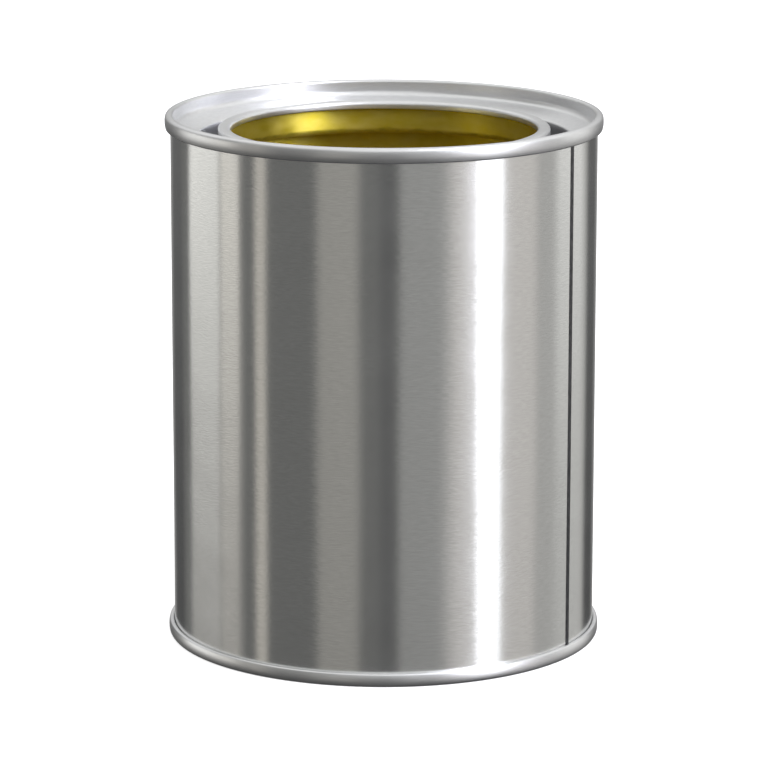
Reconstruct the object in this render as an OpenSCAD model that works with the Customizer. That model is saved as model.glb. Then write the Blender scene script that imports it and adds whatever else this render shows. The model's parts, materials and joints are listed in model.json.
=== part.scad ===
// Open round tinplate paint can: a rolled and welded body, a friction ring round the
// mouth and a recessed bottom, each end locked to the body by a double seam.
// Millimetres, +Z up, origin on the floor plane at the centre of the base.

/* [Body] */
// Outside diameter of the body wall
body_d = 108; // [100:1:120]
// Overall height, from the foot of the bottom seam to the top of the rim
can_h = 134.8; // [120:0.1:150]
// Thickness of the body sheet
body_t = 0.28; // [0.24:0.02:0.32]
// Width of the welded side seam, along the wall
weld_w = 1.8; // [0.8:0.1:2.4]
// How far the weld stands proud of the wall
weld_proud = 0.06; // [0.02:0.01:0.1]
// Direction of the side seam, in degrees from +X
weld_angle = -30.7; // [-90:0.1:0]

/* [Ends] */
// Thickness of the ring's and the bottom's sheet
end_t = 0.32; // [0.28:0.02:0.36]
// Height of the top double seam
top_seam_h = 3.8; // [3.4:0.1:4.2]
// Height of the bottom double seam
base_seam_h = 3.4; // [3.1:0.1:3.7]
// Length of each hook inside a seam
hook_h = 2; // [1.6:0.1:2.2]
// How far the middle of a seam's outer wall bows outwards
seam_bow = 0.22; // [0.15:0.01:0.26]

/* [Mouth] */
// Diameter of the mouth, inside the bead
mouth_d = 77.6; // [74:0.2:80]
// Width of the bead round the mouth
bead_w = 3.2; // [3:0.1:3.8]
// Height of the bead, from its crest to the turned-in edge
bead_h = 2.1; // [1.9:0.1:2.4]
// Depth of the bead's crest below the rim
bead_drop = 3.4; // [3:0.1:3.8]
// Depth below the rim at which the ledge starts, at the foot of the rim's inner wall
shoulder_drop = 4; // [3.9:0.1:4.2]
// Diameter at the inner edge of the ledge, where the groove starts
ledge_d = 94.6; // [93:0.2:97]
// Depth of the ledge's inner edge below the rim
ledge_drop = 5.7; // [5.2:0.1:6.2]
// Depth of the groove's floor below the rim
groove_drop = 12; // [11:0.1:13]

/* [Base] */
// Depth of the recess under the bottom
recess_h = 4.2; // [4:0.1:5]
// Height of each step in the bottom panel
step_h = 0.8; // [0.6:0.1:1]

/* [Coatings] */
// Thickness of the lacquer inside the can and of the compound in the seams
film_t = 0.1; // [0.08:0.01:0.1]
// Width of the lacquer stripe over the inside of the weld
stripe_w = 10; // [6:1:14]

/* [Hidden] */
$fn = 128;

tin = [0.74, 0.75, 0.75];
weld_grey = [0.24, 0.25, 0.27];
gold = [0.66, 0.56, 0.16];
stripe_gold = [0.72, 0.64, 0.3];
compound_grey = [0.45, 0.46, 0.44];

arc_step = 15;              // degrees of bend that one facet of a fold may take
hook_bend = 0.3;            // bend radius of a hook, on the sheet's middle line
soft_bend = 0.8;            // bend radius of the pressed steps
shoulder_bend = 1.9;        // bend radius where the rim's inner wall turns into the ledge
groove_bend = 1.4;          // bend radius at the foot of each wall of the groove
bead_out_bend = 0.6;        // bend radius at the outer edge of the bead
bead_in_bend = 0.8;         // bend radius at the edge of the mouth

body_or = body_d / 2;
body_ir = body_or - body_t;
// Middle lines of the folded layers, from the inside of a seam to its outside
chuck_r = body_ir - film_t - end_t / 2;
wall_r = body_or - body_t / 2;
end_hook_r = body_or + film_t + end_t / 2;
body_hook_r = end_hook_r + end_t / 2 + film_t + body_t / 2;
seam_r = body_hook_r + body_t / 2 + film_t + end_t / 2;
body_inset = end_t + film_t + body_t / 2;  // crest of the body's flange below the rim
end_bend = hook_bend + body_t / 2 + film_t + end_t / 2;
mouth_r = mouth_d / 2;
ledge_r = ledge_d / 2;
weld_turn = weld_w / body_or * 180 / PI;
stripe_turn = stripe_w / body_ir * 180 / PI;
chuck_h = 2.2;              // straight length of the top chuck wall, from the rim down
film_gap = 0.1;             // clear length between the compound and the lacquer

// ---- Bent sheet: a path is a list of [r, z, bend radius] on the sheet's middle line ----

function unit(v) = v / norm(v);
function left_of(v) = [-v[1], v[0]];
function spot(p) = [p[0], p[1]];
function heading(path, i) = unit(spot(path[i + 1]) - spot(path[i]));
function flip(path) = [for (p = path) [p[0], -p[1], p[2]]];
function raise(path, h) = [for (p = path) [p[0], p[1] + h, p[2]]];
function backwards(points) = [for (i = [len(points) - 1:-1:0]) points[i]];

// Points of one corner of a path, moved sideways by off to the left of the way it runs
function corner(path, i, off) =
    let (
        u = heading(path, i - 1),
        w = heading(path, i),
        turn = atan2(u[0] * w[1] - u[1] * w[0], u * w),
        bend = path[i][2],
        side = turn < 0 ? -1 : 1,
        centre = spot(path[i]) - u * bend * tan(abs(turn) / 2) + left_of(u) * side * bend,
        steps = max(1, ceil(abs(turn) / arc_step))
    )
    abs(turn) < 0.01 ? [spot(path[i]) + left_of(u) * off] :
    [for (k = [0:steps])
        let (a = turn * k / steps, out = -side * left_of(u))
        centre + (bend - side * off)
            * [out[0] * cos(a) - out[1] * sin(a), out[0] * sin(a) + out[1] * cos(a)]];

// The whole path moved sideways by off
function edge(path, off) =
    let (last = len(path) - 1)
    concat(
        [spot(path[0]) + left_of(heading(path, 0)) * off],
        [for (i = [1:last - 1]) each corner(path, i, off)],
        [spot(path[last]) + left_of(heading(path, last - 1)) * off]
    );

// Outline of a layer that lies between two distances from a path
function layer(path, from, to) = concat(edge(path, from), backwards(edge(path, to)));

// ---- Paths. The z of an end's path is counted from the crest of its seam ----

// The folded half of an end: hook, outer wall, crest and straight chuck wall
function end_seam(seam_h, chuck_h, crest_bend) =
    let (
        foot = -(seam_h - end_t / 2),
        crest = -end_t / 2,
        third = (crest - foot) / 3,
        bow_bend = 0.72 * third * third / seam_bow
    )
    [
        [end_hook_r, foot + hook_h, 0],
        [end_hook_r, foot, hook_bend],
        [seam_r, foot, hook_bend],
        [seam_r + seam_bow, foot + third, bow_bend],
        [seam_r + seam_bow, crest - third, bow_bend],
        [seam_r, crest, crest_bend],
        [chuck_r, crest, 2 * end_bend - crest_bend],
        [chuck_r, -chuck_h, 0]
    ];

top_seam = end_seam(top_seam_h, chuck_h, 1.2 * end_bend);
base_seam = end_seam(base_seam_h, base_seam_h - film_gap, end_bend);

// The open half of the ring: ledge, groove and the hemmed bead round the mouth
bead_top = -(bead_drop + end_t / 2);
bead_foot = -(bead_drop + bead_h - end_t / 2);
bead_out_r = mouth_r + bead_w - end_t / 2;
bead_in_r = mouth_r + end_t / 2;
groove_floor = -(groove_drop + end_t / 2);
ring_inside = [
    [chuck_r, -(chuck_h + film_gap), 0],
    [chuck_r, -shoulder_drop, shoulder_bend],
    [ledge_r + 0.15, -(ledge_drop + end_t / 2), 0.5],
    [ledge_r - 0.35, groove_floor, groove_bend],
    [bead_out_r, groove_floor, groove_bend],
    [bead_out_r, -(bead_drop + bead_h), 0]
];
bead = [
    [bead_out_r, -(bead_drop + bead_h), 0],
    [bead_out_r, bead_top - 0.06, bead_out_bend],
    [(bead_out_r + bead_in_r) / 2, bead_top, 6 * soft_bend],
    [bead_in_r, bead_top - 0.06, bead_in_bend],
    [bead_in_r, bead_foot, end_t / 2 + 0.02],
    [bead_in_r + 1.6, bead_foot, 0]
];

// The open half of the bottom: recess corner, stepped panel and centre
base_inside = [
    [chuck_r, -base_seam_h, 0],
    [chuck_r, -(recess_h + end_t / 2), soft_bend],
    [body_or * 0.9, -(recess_h + end_t / 2), soft_bend],
    [body_or * 0.88, -(recess_h + end_t / 2 - step_h), soft_bend],
    [body_or * 0.7, -(recess_h + end_t / 2 - step_h), soft_bend],
    [body_or * 0.68, -(recess_h + end_t / 2), soft_bend],
    [body_or * 0.62, -(recess_h + end_t / 2), soft_bend],
    [body_or * 0.6, -(recess_h + end_t / 2 - step_h), soft_bend],
    [0, -(recess_h + end_t / 2 - step_h), 0]
];

// The body: bottom hook, wall and top hook
body_path = [
    [body_hook_r, body_inset + hook_h, 0],
    [body_hook_r, body_inset, hook_bend],
    [wall_r, body_inset, hook_bend],
    [wall_r, can_h - body_inset, 2 * hook_bend - top_hook_bend()],
    [body_hook_r, can_h - body_inset, top_hook_bend()],
    [body_hook_r, can_h - body_inset - hook_h, 0]
];

// The body's outer corner nests inside the ring's crest
function top_hook_bend() = 1.2 * end_bend - end_t / 2 - film_t - body_t / 2;

function joined(a, b) = concat([for (i = [0:len(a) - 2]) a[i]], [for (i = [1:len(b) - 1]) b[i]]);

ring_path = joined(joined(top_seam, ring_inside), bead);
base_path = joined(base_seam, base_inside);

// ---- Sub-parts ----

module spun(points) {
    rotate_extrude() polygon(points);
}

// A part of a turn that leaves out, or is, the strip that is centred on the side seam
module spun_without(points, gap) {
    rotate([0, 0, weld_angle + gap / 2]) rotate_extrude(angle = 360 - gap) polygon(points);
}

module can_body() {
    color(tin) spun_without(layer(body_path, -body_t / 2, body_t / 2), weld_turn);
}

// The lapped and welded edges of the body sheet, squeezed a little thicker than the wall
module side_weld() {
    proud_from = base_seam_h + 1;
    proud_to = can_h - top_seam_h - 1;
    color(weld_grey) rotate([0, 0, weld_angle - weld_turn / 2]) rotate_extrude(angle = weld_turn) {
        polygon(layer(body_path, -body_t / 2, body_t / 2));
        translate([body_ir, proud_from]) square([body_t + weld_proud, proud_to - proud_from]);
    }
}

module lever_ring() {
    color(tin) spun(layer(raise(ring_path, can_h), -end_t / 2, end_t / 2));
}

module bottom_end() {
    color(tin) spun(layer(flip(base_path), -end_t / 2, end_t / 2));
}

// Sealing compound along the sheet's inner side, all through the fold
module top_seam_compound() {
    color(compound_grey) spun(layer(raise(top_seam, can_h), end_t / 2, end_t / 2 + film_t));
}

module bottom_seam_compound() {
    color(compound_grey) spun(layer(flip(base_seam), -end_t / 2, -end_t / 2 - film_t));
}

// A film on the body wall, between the bottom's corner and the ring's shoulder
wall_film = [
    [body_ir - film_t, recess_h],
    [body_ir, recess_h],
    [body_ir, can_h - shoulder_drop],
    [body_ir - film_t, can_h - shoulder_drop]
];

module body_lacquer() {
    color(gold) spun_without(wall_film, stripe_turn);
}

module weld_stripe() {
    color(stripe_gold) rotate([0, 0, weld_angle - stripe_turn / 2])
        rotate_extrude(angle = stripe_turn) polygon(wall_film);
}

module ring_lacquer() {
    color(gold) spun(layer(raise(ring_inside, can_h), end_t / 2, end_t / 2 + film_t));
}

module bottom_lacquer() {
    color(gold) spun(layer(flip(base_inside), -end_t / 2, -end_t / 2 - film_t));
}

can_body();
side_weld();
lever_ring();
bottom_end();
top_seam_compound();
bottom_seam_compound();
body_lacquer();
ring_lacquer();
bottom_lacquer();
weld_stripe();
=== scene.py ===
"""Open round tinplate paint can with a gold lacquered inside, on a pale studio floor."""

import json
import math

import bpy
from mathutils import Matrix, Vector


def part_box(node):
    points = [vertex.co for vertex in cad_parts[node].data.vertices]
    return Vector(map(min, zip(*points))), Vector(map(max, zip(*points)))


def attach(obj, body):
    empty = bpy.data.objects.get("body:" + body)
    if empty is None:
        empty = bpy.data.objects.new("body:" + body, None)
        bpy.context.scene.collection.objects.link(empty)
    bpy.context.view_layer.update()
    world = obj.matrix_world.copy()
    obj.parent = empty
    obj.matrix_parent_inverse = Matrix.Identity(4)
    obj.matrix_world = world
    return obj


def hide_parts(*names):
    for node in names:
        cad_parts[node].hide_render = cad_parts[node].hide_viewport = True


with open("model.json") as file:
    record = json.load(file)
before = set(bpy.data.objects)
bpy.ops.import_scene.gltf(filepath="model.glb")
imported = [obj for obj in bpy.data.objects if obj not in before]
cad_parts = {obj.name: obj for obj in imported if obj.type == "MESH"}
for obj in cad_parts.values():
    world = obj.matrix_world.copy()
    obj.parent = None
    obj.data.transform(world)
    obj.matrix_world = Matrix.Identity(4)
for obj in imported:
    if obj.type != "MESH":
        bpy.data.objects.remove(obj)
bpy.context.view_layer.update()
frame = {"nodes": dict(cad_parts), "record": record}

MM = 0.001
BODY = "root"

# Camera: the can stands at the origin and the camera looks along +Y, a little downwards
CAMERA_DISTANCE = 1.0742
CAMERA_HEIGHT = 0.3084
CAMERA_PITCH = 12.798
CAMERA_ROLL = 0.075
LENS = 201.62
SENSOR = 36.0
SHIFT_X = 0.0003
CLIP_START = 0.05

# Sheets and films, in millimetres
BODY_SHEET = 0.28
END_SHEET = 0.32
FILM = 0.1
FOLD_BEND = 0.3

# Meshing: degrees of bend to a facet, facets to a whole turn, an outline's longest edge in
# millimetres, the sharp edges' least angle in degrees, the least bend in radians that is
# rounded, and the largest radius in millimetres that counts as being on the axis
FOLD_ARC = 7.5
ROUND_STEPS = 540
LONGEST_EDGE = 4.0
SHARP_ANGLE = 40
LEAST_BEND = 0.0002
ON_AXIS = 1e-6

# Seams and ends, in millimetres; a drop is a depth below the rim
TOP_SEAM = 3.8
BASE_SEAM = 3.4
HOOK = 2.0
SEAM_BOW = 0.22
BOW_ROUNDNESS = 0.72
TOP_CREST_ROUNDNESS = 1.2
CHUCK = 2.2
SHOULDER_DROP = 4.0
SHOULDER_BEND = 1.9
LEDGE_R = 47.3
LEDGE_DROP = 5.7
LEDGE_BEND = 0.5
GROOVE_DROP = 12.0
GROOVE_BEND = 1.4

# The groove's outer wall leans: how far its top is outside the ledge's edge, its foot inside
GROOVE_TOP_OUT = 0.15
GROOVE_FOOT_IN = 0.35

# The bead round the mouth and the sheet turned in under it
BEAD_WIDTH = 3.2
BEAD_DROP = 3.4
BEAD_HEIGHT = 2.1
BEAD_OUT_BEND = 0.6
BEAD_TOP_BEND = 4.8
BEAD_IN_BEND = 0.8
BEAD_CROWN = 0.06
HEM_LENGTH = 1.6
HEM_LOOSENESS = 0.02

# The bottom's recess and stepped panel, whose slopes start and end at these shares of the
# body's radius, from the outside in
RECESS = 4.2
PANEL_STEP = 0.8
PANEL_BEND = 0.8
PANEL_SLOPES = ((0.9, 0.88), (0.7, 0.68), (0.62, 0.6))

# Side seam, in degrees and millimetres
WELD_ANGLE = -30.7
WELD_WIDTH = 1.8
WELD_PROUD = 0.06
WELD_END_GAP = 1
WELD_STEPS = 8
STRIPE_WIDTH = 10.0
OUTER_FACE_TOLERANCE = 0.01

# The body wall's slight waves: their depth, and how far from each end they start and how far
# they take to grow, in millimetres. For each wave its count round the can, the millimetres of
# height to a radian of turn, its phase in radians and its share of the depth.
WAVE_DEPTH = 0.02
WAVE_START = 4
WAVE_GROWTH = 12
WAVES = ((3, 31, 0, 1), (7, -23, 1.3, 0.6), (13, 17, 0, 0.4))

# Grain sizes along X, Y and Z in millimetres, and the noise values that a grain is spread from
STREAK_GRAIN = (2, 2, 0.25)
SCRATCH_GRAIN = (1.4, 1.4, 0.22)
TIN_CLOUD = (16, 16, 10)
LACQUER_CLOUD = (6, 6, 3.0)
LACQUER_PATCH = (2.4, 2.4, 1.0)
MATT_CLOUD = (0.8, 0.8, 1.6)
GRAIN_RANGE = (0.3, 0.7)
TONE_RANGE = (0.32, 0.68)
MATT_RANGE = (0.35, 0.65)
PATCH_RANGE = (0.4, 0.6)

# Reflections smear across the lines round the can, which is a quarter turn from the tangent
SMEAR_TURN = 0.25

# The streaks' share of the tin's tone, and the share by which each roughness varies
STREAK_SHARE = 0.75
TIN_MOTTLE = 0.08
LACQUER_MOTTLE = 0.1

# The lacquer's smear from 0 to 1, its sway in degrees, and the depths of dents in millimetres
LACQUER_SMEAR = 0.78
LACQUER_SWAY = 1.2
LACQUER_DENTS = 0.04
MATT_DENTS = 0.05

# Dark marks along a line below the mouth, in millimetres, and how far they cover where they are
# thin and where they are thick
DARK_LINE_DROP = 11.6
DARK_LINE_WANDER = 0.6
DARK_LINE_HALF = 0.35
DARK_LINE_EDGE = 0.6
DARK_LINE_COVER = (0.05, 0.35)
DARK_LINE_COLOUR = (0.3, 0.27, 0.04)

# Painted shade in the groove round the mouth, a grey: it starts a little below the ledge and is full
# at its drop
GROOVE_SHADE_START = 0.3
GROOVE_SHADE_DROP = 7.2
GROOVE_SHADE_PAST_LEDGE = 0.1
GROOVE_SHADE_EDGE = 0.3
GROOVE_SHADE = (0.4, 0.4, 0.41)

# The floor, in metres: its radius, the sides of its outline, its grey and its own light
FLOOR_RADIUS = 12.0
FLOOR_SIDES = 96
FLOOR_GREY = (0.85, 0.85, 0.85)
FLOOR_GLOW = 0.6


def outer_radius(node):
    """The radius of a CAD node round the can's axis, in millimetres."""
    return max(math.hypot(v.co.x, v.co.y) for v in frame["nodes"][node].data.vertices) / MM


mounts = {mount["name"]: mount for mount in frame["record"]["mounts"]}
can_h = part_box("lever_ring")[1][2] / MM
body_ir = outer_radius("body_lacquer")
body_or = body_ir + BODY_SHEET
mouth_r = mounts["lid_mouth"]["dims"]["r_mm"]

# Middle lines of the folded layers
chuck_r = body_ir - FILM - END_SHEET / 2
wall_r = body_or - BODY_SHEET / 2
end_hook_r = body_or + FILM + END_SHEET / 2
body_hook_r = end_hook_r + END_SHEET / 2 + FILM + BODY_SHEET / 2
seam_r = body_hook_r + BODY_SHEET / 2 + FILM + END_SHEET / 2
flange = END_SHEET + FILM + BODY_SHEET / 2
fold = FOLD_BEND + BODY_SHEET / 2 + FILM + END_SHEET / 2
top_bend = TOP_CREST_ROUNDNESS * fold
weld_turn = math.degrees(WELD_WIDTH / body_or)
stripe_turn = math.degrees(STRIPE_WIDTH / body_ir)


# ---- Bent sheet: a path is a list of (r, z, bend radius) in millimetres ----


def heading(path, i):
    """The unit direction from point i of a path to the next."""
    return (Vector(path[i + 1][:2]) - Vector(path[i][:2])).normalized()


def left_of(v):
    return Vector((-v.y, v.x))


def turned(v, angle):
    c = math.cos(angle)
    s = math.sin(angle)
    return Vector((v.x * c - v.y * s, v.x * s + v.y * c))


def corner(path, i, off):
    """Points of one rounded corner of a path, moved sideways by off to the left."""
    before = heading(path, i - 1)
    after = heading(path, i)
    turn = math.atan2(before.x * after.y - before.y * after.x, before.dot(after))
    here = Vector(path[i][:2])
    if abs(turn) < LEAST_BEND:
        return [here + left_of(before) * off]
    bend = path[i][2]
    side = math.copysign(1, turn)
    centre = here - before * bend * math.tan(abs(turn) / 2) + left_of(before) * side * bend
    steps = max(1, math.ceil(math.degrees(abs(turn)) / FOLD_ARC))
    out = left_of(before) * -side
    return [centre + turned(out, turn * k / steps) * (bend - side * off) for k in range(steps + 1)]


def edge(path, off):
    """The whole path moved sideways by off to the left."""
    points = [Vector(path[0][:2]) + left_of(heading(path, 0)) * off]
    for i in range(1, len(path) - 1):
        points += corner(path, i, off)
    points.append(Vector(path[-1][:2]) + left_of(heading(path, len(path) - 2)) * off)
    return points


def layer(path, start, end):
    """The closed outline of a layer between two distances from a path."""
    return edge(path, start) + edge(path, end)[::-1]


def flip(path):
    return [(r, -z, bend) for r, z, bend in path]


def lift(path, height):
    return [(r, z + height, bend) for r, z, bend in path]


# ---- Paths ----


def end_seam(seam_h, chuck_h, crest_bend):
    """The folded half of an end: hook, bowed outer wall, crest and chuck wall."""
    foot = -(seam_h - END_SHEET / 2)
    crest = -END_SHEET / 2
    third = (crest - foot) / 3
    bow_bend = BOW_ROUNDNESS * third * third / SEAM_BOW
    return [
        (end_hook_r, foot + HOOK, 0),
        (end_hook_r, foot, FOLD_BEND),
        (seam_r, foot, FOLD_BEND),
        (seam_r + SEAM_BOW, foot + third, bow_bend),
        (seam_r + SEAM_BOW, crest - third, bow_bend),
        (seam_r, crest, crest_bend),
        (chuck_r, crest, 2 * fold - crest_bend),
        (chuck_r, -chuck_h, 0),
    ]


top_seam = end_seam(TOP_SEAM, CHUCK, top_bend)
base_seam = end_seam(BASE_SEAM, BASE_SEAM - FILM, fold)

bead_top = -(BEAD_DROP + END_SHEET / 2)
bead_foot = -(BEAD_DROP + BEAD_HEIGHT - END_SHEET / 2)
bead_out_r = mouth_r + BEAD_WIDTH - END_SHEET / 2
bead_in_r = mouth_r + END_SHEET / 2
groove_floor = -(GROOVE_DROP + END_SHEET / 2)
ring_inside = [
    (chuck_r, -(CHUCK + FILM), 0),
    (chuck_r, -SHOULDER_DROP, SHOULDER_BEND),
    (LEDGE_R + GROOVE_TOP_OUT, -(LEDGE_DROP + END_SHEET / 2), LEDGE_BEND),
    (LEDGE_R - GROOVE_FOOT_IN, groove_floor, GROOVE_BEND),
    (bead_out_r, groove_floor, GROOVE_BEND),
    (bead_out_r, -(BEAD_DROP + BEAD_HEIGHT), 0),
]
bead = [
    (bead_out_r, bead_top - BEAD_CROWN, BEAD_OUT_BEND),
    ((bead_out_r + bead_in_r) / 2, bead_top, BEAD_TOP_BEND),
    (bead_in_r, bead_top - BEAD_CROWN, BEAD_IN_BEND),
    (bead_in_r, bead_foot, END_SHEET / 2 + HEM_LOOSENESS),
    (bead_in_r + HEM_LENGTH, bead_foot, 0),
]
ring_path = top_seam[:-1] + ring_inside[1:-1] + bead

panel_z = -(RECESS + END_SHEET / 2)
step_z = panel_z + PANEL_STEP
base_inside = [(chuck_r, -BASE_SEAM, 0), (chuck_r, panel_z, PANEL_BEND)]
level, next_level = panel_z, step_z
for slope_start, slope_end in PANEL_SLOPES:
    base_inside.append((body_or * slope_start, level, PANEL_BEND))
    base_inside.append((body_or * slope_end, next_level, PANEL_BEND))
    level, next_level = next_level, level
base_inside.append((0, step_z, 0))
base_path = base_seam[:-1] + base_inside[1:]

body_top_bend = top_bend - END_SHEET / 2 - FILM - BODY_SHEET / 2
body_path = [
    (body_hook_r, flange + HOOK, 0),
    (body_hook_r, flange, FOLD_BEND),
    (wall_r, flange, FOLD_BEND),
    (wall_r, can_h - flange, 2 * FOLD_BEND - body_top_bend),
    (body_hook_r, can_h - flange, body_top_bend),
    (body_hook_r, can_h - flange - HOOK, 0),
]
wall_film = [
    Vector((body_ir - FILM, RECESS)),
    Vector((body_ir, RECESS)),
    Vector((body_ir, can_h - SHOULDER_DROP)),
    Vector((body_ir - FILM, can_h - SHOULDER_DROP)),
]


# ---- Meshes ----


def split_long(outline, longest):
    """The closed outline with its long edges cut into equal parts."""
    points = []
    for here, there in zip(outline, outline[1:] + outline[:1]):
        parts = max(1, math.ceil((there - here).length / longest))
        points += [here.lerp(there, k / parts) for k in range(parts)]
    return points


def revolve(name, outline, material, start=0.0, sweep=360.0, steps=None, shape=None):
    """A closed outline turned about the Z axis. shape(r, z, angle) may return a changed radius."""
    outline = split_long(outline, LONGEST_EDGE)
    whole = sweep >= 360
    steps = steps or max(2, round(ROUND_STEPS * sweep / 360))
    columns = steps if whole else steps + 1
    verts = []
    rows = []
    for r, z in outline:
        if r < ON_AXIS:
            rows.append([len(verts)] * columns)
            verts.append((0, 0, z * MM))
            continue
        rows.append(list(range(len(verts), len(verts) + columns)))
        for k in range(columns):
            angle = math.radians(start + sweep * k / steps)
            radius = (shape(r, z, angle) if shape else r) * MM
            verts.append((radius * math.cos(angle), radius * math.sin(angle), z * MM))
    faces = []
    for low, high in zip(rows, rows[1:] + rows[:1]):
        for k in range(steps):
            m = (k + 1) % columns
            loop = dict.fromkeys((low[k], low[m], high[m], high[k]))
            if len(loop) > 2:
                faces.append(tuple(loop))
    if not whole:
        faces.append(tuple(row[0] for row in rows))
        faces.append(tuple(row[-1] for row in rows)[::-1])
    mesh = bpy.data.meshes.new(name)
    mesh.from_pydata(verts, [], faces)
    mesh.validate()
    mesh.shade_smooth()
    mesh.set_sharp_from_angle(angle=math.radians(SHARP_ANGLE))
    mesh.materials.append(material)
    piece = bpy.data.objects.new(name, mesh)
    bpy.context.collection.objects.link(piece)
    return piece


# ---- Materials ----


def add(tree, kind, inputs=None, **settings):
    """A new shader node with its settings, and each input set to a value or linked to a socket."""
    node = tree.nodes.new("ShaderNode" + kind)
    for key, value in settings.items():
        setattr(node, key, value)
    for key, value in (inputs or {}).items():
        if isinstance(value, bpy.types.NodeSocket):
            tree.links.new(value, node.inputs[key])
        else:
            node.inputs[key].default_value = value
    return node


def new_material(name):
    material = bpy.data.materials.new(name)
    material.use_nodes = True
    return material, material.node_tree, material.node_tree.nodes["Principled BSDF"]


def maths(tree, operation, *values):
    return add(tree, "Math", dict(enumerate(values)), operation=operation).outputs[0]


def noise(tree, size, detail=2.0):
    """Noise whose grains have the given size along X, Y and Z, in millimetres."""
    place = add(tree, "TexCoord").outputs["Object"]
    scale = [1 / (MM * length) for length in size]
    scaled = add(tree, "Mapping", {"Vector": place, "Scale": scale}).outputs[0]
    return add(tree, "TexNoise", {"Vector": scaled, "Scale": 1.0, "Detail": detail}).outputs["Fac"]


def spread(tree, value, low, high, to_low=0.0, to_high=1.0, **settings):
    """value mapped from the range low to high onto to_low to to_high."""
    ends = {1: low, 2: high, 3: to_low, 4: to_high}
    return add(tree, "MapRange", {"Value": value, **ends}, **settings).outputs[0]


def eased(tree, value, low, high, to_low=0.0, to_high=1.0):
    """value mapped like spread does, but starting and ending smoothly."""
    return spread(tree, value, low, high, to_low, to_high, interpolation_type="SMOOTHSTEP")


def band(tree, value, low, high, soft):
    """1 where value lies between low and high, with soft edges."""
    rise = eased(tree, value, low - soft / 2, low + soft / 2)
    fall = eased(tree, value, high - soft / 2, high + soft / 2, 1.0, 0.0)
    return maths(tree, "MULTIPLY", rise, fall)


def mixed(tree, mix, first, second, **settings):
    """A colour socket between two colours, each a socket or a tuple of red, green and blue."""
    inputs = {"Fac": mix}
    for key, colour in (("Color1", first), ("Color2", second)):
        inputs[key] = (*colour, 1) if isinstance(colour, tuple) else colour
    return add(tree, "MixRGB", inputs, **settings).outputs[0]


def swayed(tree, grain, degrees):
    """The surface's normal, turned to and fro round the can by a grain."""
    around = add(tree, "Tangent", direction_type="RADIAL", axis="Z").outputs[0]
    lean = math.tan(math.radians(degrees))
    amount = spread(tree, grain, *GRAIN_RANGE, -lean, lean)
    side = add(tree, "VectorMath", {0: around, "Scale": amount}, operation="SCALE").outputs[0]
    normal = add(tree, "NewGeometry").outputs["Normal"]
    leaned = add(tree, "VectorMath", {0: normal, 1: side}, operation="ADD").outputs[0]
    return add(tree, "VectorMath", {0: leaned}, operation="NORMALIZE").outputs[0]


def dent(tree, shader, height, depth, **inputs):
    """Dent a shader's surface by a height, to a depth in millimetres."""
    dents = {"Height": height, "Distance": depth * MM, "Strength": 1.0, **inputs}
    tree.links.new(add(tree, "Bump", dents).outputs[0], shader.inputs["Normal"])


def mottle(tree, shader, grain, rough, share):
    """Vary a shader's roughness with a grain, by a share of it each way."""
    roughness = spread(tree, grain, *GRAIN_RANGE, rough * (1 - share), rough * (1 + share))
    tree.links.new(roughness, shader.inputs["Roughness"])


def line_up(tree, shader, smear):
    """Set a metal shader's reflections to smear up and down, as fine lines round the can do."""
    shader.inputs["Metallic"].default_value = 1.0
    shader.inputs["Anisotropic"].default_value = smear
    shader.inputs["Anisotropic Rotation"].default_value = SMEAR_TURN
    around = add(tree, "Tangent", direction_type="RADIAL", axis="Z")
    tree.links.new(around.outputs[0], shader.inputs["Tangent"])


def painted_groove_shade(tree, undarkened):
    """The ring's colour, darkened by painted shade inside the groove round the mouth."""
    place = add(tree, "SeparateXYZ", {0: add(tree, "TexCoord").outputs["Object"]})
    squares = [maths(tree, "POWER", place.outputs[axis], 2.0) for axis in "XY"]
    radius = maths(tree, "SQRT", maths(tree, "ADD", *squares))
    inner = (mouth_r + BEAD_WIDTH) * MM
    outer = (LEDGE_R + GROOVE_SHADE_PAST_LEDGE) * MM
    around = band(tree, radius, inner, outer, GROOVE_SHADE_EDGE * MM)
    full = (can_h - GROOVE_SHADE_DROP) * MM
    start = (can_h - LEDGE_DROP - GROOVE_SHADE_START) * MM
    depth = spread(tree, place.outputs["Z"], full, start, 1, 0)
    # Painted shade: the groove's colour is mixed towards a grey, more fully further down
    return mixed(tree, maths(tree, "MULTIPLY", around, depth), undarkened, GROOVE_SHADE)


def tinplate(name, dark, light, rough, smear, sway, dents, groove=False):
    """Tinplate whose fine rolling lines run round the can, with or without painted shade in the
    groove round the mouth.
    """
    material, tree, shader = new_material(name)
    streak = noise(tree, STREAK_GRAIN)
    cloud = noise(tree, TIN_CLOUD, 3.0)
    scratch = noise(tree, SCRATCH_GRAIN)
    streaks = maths(tree, "MULTIPLY", streak, STREAK_SHARE)
    clouds = maths(tree, "MULTIPLY", cloud, 1 - STREAK_SHARE)
    tone = maths(tree, "ADD", streaks, clouds)
    colour = mixed(tree, spread(tree, tone, *TONE_RANGE), dark, light)
    if groove:
        # Painted shade darkens the groove round the mouth
        colour = painted_groove_shade(tree, colour)
    tree.links.new(colour, shader.inputs["Base Color"])
    mottle(tree, shader, cloud, rough, TIN_MOTTLE)
    dent(tree, shader, scratch, dents, Normal=swayed(tree, streak, sway))
    line_up(tree, shader, smear)
    return material


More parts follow.
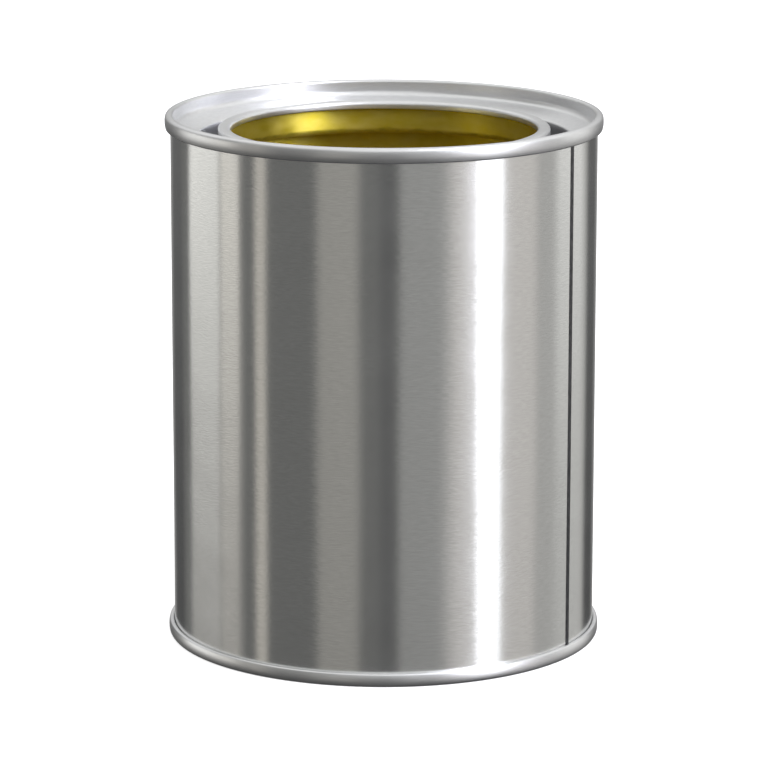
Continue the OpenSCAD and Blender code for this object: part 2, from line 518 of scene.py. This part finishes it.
def lacquer(name, dark, light, rough):
    """Cloudy gold lacquer over tinplate, darkened in marks along a line below the mouth."""
    material, tree, shader = new_material(name)
    cloud = noise(tree, LACQUER_CLOUD, 4.0)
    patch = noise(tree, LACQUER_PATCH, 3.0)
    height = add(tree, "SeparateXYZ", {0: add(tree, "TexCoord").outputs["Object"]}).outputs["Z"]
    wander = spread(tree, cloud, *GRAIN_RANGE, -DARK_LINE_WANDER * MM, DARK_LINE_WANDER * MM)
    dark_line_z = (can_h - DARK_LINE_DROP) * MM
    half = DARK_LINE_HALF * MM
    # Dark marks along a wandering line below the mouth, patchy along its length
    moved = maths(tree, "ADD", height, wander)
    line = band(tree, moved, dark_line_z - half, dark_line_z + half, DARK_LINE_EDGE * MM)
    dark_marks = maths(tree, "MULTIPLY", line, spread(tree, patch, *PATCH_RANGE, *DARK_LINE_COVER))
    undarkened = mixed(tree, spread(tree, cloud, *TONE_RANGE), dark, light)
    tree.links.new(mixed(tree, dark_marks, undarkened, DARK_LINE_COLOUR), shader.inputs["Base Color"])
    mottle(tree, shader, cloud, rough, LACQUER_MOTTLE)
    dent(tree, shader, patch, LACQUER_DENTS, Normal=swayed(tree, cloud, LACQUER_SWAY))
    line_up(tree, shader, LACQUER_SMEAR)
    return material


def matt(name, dark, light, rough, metallic):
    """A dull, slightly mottled surface, for the weld and the sealing compound."""
    material, tree, shader = new_material(name)
    cloud = noise(tree, MATT_CLOUD, 3.0)
    colour = mixed(tree, spread(tree, cloud, *MATT_RANGE), dark, light)
    tree.links.new(colour, shader.inputs["Base Color"])
    dent(tree, shader, cloud, MATT_DENTS)
    shader.inputs["Roughness"].default_value = rough
    shader.inputs["Metallic"].default_value = metallic
    return material


bright_tin = {"dark": (0.77, 0.775, 0.77), "light": (0.85, 0.855, 0.85), "rough": 0.18}
satin_tin = {"dark": (0.77, 0.775, 0.785), "light": (0.83, 0.835, 0.845), "rough": 0.33}

# The record's material slots
MATERIALS = {
    "body_tinplate": tinplate("bright_tin", **bright_tin, smear=0.9, sway=0.18, dents=0.012),
    # The ends' tinplate carries the painted shade in the groove round the mouth
    "end_tinplate": tinplate("satin_tin", **satin_tin, smear=0.3, sway=0.2, dents=0.004, groove=True),
    "weld": matt("weld_metal", (0.05, 0.051, 0.055), (0.1, 0.101, 0.107), 0.42, metallic=1.0),
    "compound": matt("seam_compound", (0.36, 0.37, 0.35), (0.45, 0.46, 0.44), 0.6, metallic=0.0),
    "gold_lacquer": lacquer("gold", (0.67, 0.54, 0.05), (0.76, 0.63, 0.12), 0.46),
    "stripe_lacquer": lacquer("pale_gold", (0.74, 0.66, 0.26), (0.82, 0.75, 0.36), 0.46),
}


# ---- Pieces ----


def wavy(r, z, angle):
    """The body wall's slight waves, which bend its reflections a little."""
    below = (z - WAVE_START) / WAVE_GROWTH
    above = (can_h - WAVE_START - z) / WAVE_GROWTH
    inside = max(0.0, min(1.0, below, above))
    waves = 0
    for count, rise, phase, share in WAVES:
        waves += share * math.sin(count * angle + z / rise + phase)
    return r + WAVE_DEPTH * inside * waves


def crowned(r, z, angle):
    """The wavy wall with the weld's low crown on its outer face, clear of the seams."""
    middle = BASE_SEAM + WELD_END_GAP < z < can_h - TOP_SEAM - WELD_END_GAP
    if abs(r - body_or) > OUTER_FACE_TOLERANCE or not middle:
        return wavy(r, z, angle)
    across = (math.degrees(angle) - WELD_ANGLE) / (weld_turn / 2)
    return wavy(r, z, angle) + WELD_PROUD * math.sqrt(max(0.0, 1 - across * across))


def clear_of(gap):
    """The start and sweep of a turn that leaves a gap centred on the side seam."""
    return {"start": WELD_ANGLE + gap / 2, "sweep": 360 - gap}


def centred(width):
    """The start and sweep of a strip centred on the side seam."""
    return {"start": WELD_ANGLE - width / 2, "sweep": width}


body_outline = layer(body_path, -BODY_SHEET / 2, BODY_SHEET / 2)
ring_outline = layer(lift(ring_path, can_h), -END_SHEET / 2, END_SHEET / 2)
base_outline = layer(flip(base_path), -END_SHEET / 2, END_SHEET / 2)
ring_film = layer(lift(ring_inside, can_h), END_SHEET / 2, END_SHEET / 2 + FILM)
base_film = layer(flip(base_inside), -END_SHEET / 2, -END_SHEET / 2 - FILM)

weld_turned = {"shape": crowned, "steps": WELD_STEPS, **centred(weld_turn)}

# Each piece's CAD node, outline and material slot, and how the outline is turned
PIECES = {
    "body_wall": ("can_body", body_outline, "body_tinplate", {"shape": wavy, **clear_of(weld_turn)}),
    "weld_seam": ("side_weld", body_outline, "weld", weld_turned),
    "mouth_ring": ("lever_ring", ring_outline, "end_tinplate", {}),
    "base_end": ("bottom_end", base_outline, "end_tinplate", {}),
    "wall_coat": ("body_lacquer", wall_film, "gold_lacquer", clear_of(stripe_turn)),
    "stripe_coat": ("weld_stripe", wall_film, "stripe_lacquer", centred(stripe_turn)),
    "ring_coat": ("ring_lacquer", ring_film, "gold_lacquer", {}),
    "base_coat": ("bottom_lacquer", base_film, "gold_lacquer", {}),
}
for name, (node, outline, slot, turn) in PIECES.items():
    piece = revolve(name, outline, MATERIALS[slot], **turn)
    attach(piece, BODY)
    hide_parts(node)

for node in ("top_seam_compound", "bottom_seam_compound"):
    for material_slot in frame["nodes"][node].material_slots:
        material_slot.material = MATERIALS["compound"]


# ---- Floor, light and camera ----


def dull(name, albedo, glow):
    """A pale diffuse surface, lifted towards white by a little light of its own."""
    material, tree, shader = new_material(name)
    shader.inputs["Base Color"].default_value = (*albedo, 1)
    shader.inputs["Roughness"].default_value = 1.0
    shader.inputs["Specular IOR Level"].default_value = 0.0
    shader.inputs["Emission Color"].default_value = (1, 1, 1, 1)
    shader.inputs["Emission Strength"].default_value = glow
    return material


def flat_disc(name, radius, material):
    """A round floor centred under the can."""
    turns = [2 * math.pi * k / FLOOR_SIDES for k in range(FLOOR_SIDES)]
    verts = [(radius * math.cos(turn), radius * math.sin(turn), 0) for turn in turns]
    mesh = bpy.data.meshes.new(name)
    mesh.from_pydata(verts, [], [tuple(range(FLOOR_SIDES))])
    mesh.materials.append(material)
    disc = bpy.data.objects.new(name, mesh)
    bpy.context.collection.objects.link(disc)
    return disc


# The can's reflections see the room instead of the floor
floor = flat_disc("floor", FLOOR_RADIUS, dull("pale_floor", FLOOR_GREY, FLOOR_GLOW))
floor.visible_glossy = False

# The room is dark low down and bright overhead: its colours, and the elevations in degrees
# between which one turns into the other. Each panel of light then covers part of it: its
# azimuths, in degrees from the camera towards the camera's right, and their softness, its
# elevations and their softness, and its light.
ROOM_LOW = (0.07, 0.07, 0.07)
ROOM_HIGH = (0.9, 0.9, 0.89)
ROOM_RISE = (-18, 38)
PANELS = (
    ("back_left", -200, -164, 12, -21, 12, 8, (0.34, 0.34, 0.335)),
    ("back_right", 164, 200, 12, -21, 12, 8, (0.34, 0.34, 0.335)),
    ("left_shade", -115, -25, 20, 2, 40, 16, (0.36, 0.36, 0.35)),
    ("front_room", -141, 143, 8, -21, 8, 10, (0.155, 0.155, 0.15)),
    ("left_table", -129, -81.5, 5, -20, 4, 6, (0.28, 0.272, 0.257)),
    ("left_fill", -36, -13, 7, -21, 8, 8, (0.35, 0.34, 0.315)),
    ("right_fill", 8.3, 141, 5, -21, 8, 8, (0.33, 0.33, 0.32)),
    ("right_rise", 35, 92, 14, -21, 12, 8, (0.625, 0.6, 0.575)),
    ("right_wall", 92, 141, 8, -21, 12, 8, (0.45, 0.445, 0.43)),
    ("camera_shade", -2, 6, 5, -21, 8, 8, (0.11, 0.11, 0.11)),
    ("left_strip", -73.2, -66, 4, -21, 30, 8, (0.56, 0.53, 0.48)),
    ("left_softbox", -128.5, -98.8, 5, -11, 6, 7, (1.2, 1.19, 1.14)),
    ("left_softbox_edge", -97.4, -83.8, 3, -11, 6, 7, (1.08, 1.04, 0.96)),
    ("right_softbox", 51, 66, 4, -21, 60, 8, (1.6, 1.61, 1.64)),
    ("right_far_softbox", 105.5, 134.5, 9, -10.5, 60, 7, (0.95, 0.945, 0.92)),
    ("right_lamp", 46, 67, 8, 6, 60, 10, (9.5, 9.6, 10.6)),
)


def light_room():
    """The world: a room with soft panels of light for the scene, and plain white for the camera."""
    world = bpy.data.worlds.new("studio")
    world.use_nodes = True
    tree = world.node_tree
    tree.nodes.clear()
    ray = add(tree, "SeparateXYZ", {0: add(tree, "TexCoord").outputs["Generated"]})
    towards_camera = maths(tree, "MULTIPLY", ray.outputs["Y"], -1.0)
    azimuth = maths(tree, "DEGREES", maths(tree, "ARCTAN2", ray.outputs["X"], towards_camera))
    elevation = maths(tree, "DEGREES", maths(tree, "ARCSINE", ray.outputs["Z"]))
    colour = mixed(tree, eased(tree, elevation, *ROOM_RISE), ROOM_LOW, ROOM_HIGH)
    for name, start, end, edge_soft, low, high, rise_soft, light in PANELS:
        off = maths(tree, "SUBTRACT", azimuth, (start + end) / 2)
        across = band(tree, off, (start - end) / 2, (end - start) / 2, edge_soft)
        inside = maths(tree, "MULTIPLY", across, band(tree, elevation, low, high, rise_soft))
        colour = mixed(tree, inside, colour, light, label=name)
    seen = add(tree, "LightPath").outputs["Is Camera Ray"]
    shown = mixed(tree, seen, colour, (1.0, 1.0, 1.0))
    background = add(tree, "Background", {"Color": shown, "Strength": 1.0})
    add(tree, "OutputWorld", {"Surface": background.outputs[0]})
    bpy.context.scene.world = world


def place_camera():
    data = bpy.data.cameras.new("camera")
    data.lens = LENS
    data.sensor_width = SENSOR
    data.shift_x = SHIFT_X
    data.clip_start = CLIP_START
    camera = bpy.data.objects.new("camera", data)
    bpy.context.collection.objects.link(camera)
    pitch = Matrix.Rotation(math.radians(90 - CAMERA_PITCH), 4, "X")
    roll = Matrix.Rotation(math.radians(CAMERA_ROLL), 4, "Z")
    camera.matrix_world = Matrix.Translation((0, -CAMERA_DISTANCE, CAMERA_HEIGHT)) @ pitch @ roll
    bpy.context.scene.camera = camera


light_room()
place_camera()
bpy.context.scene.view_settings.view_transform = "Standard"
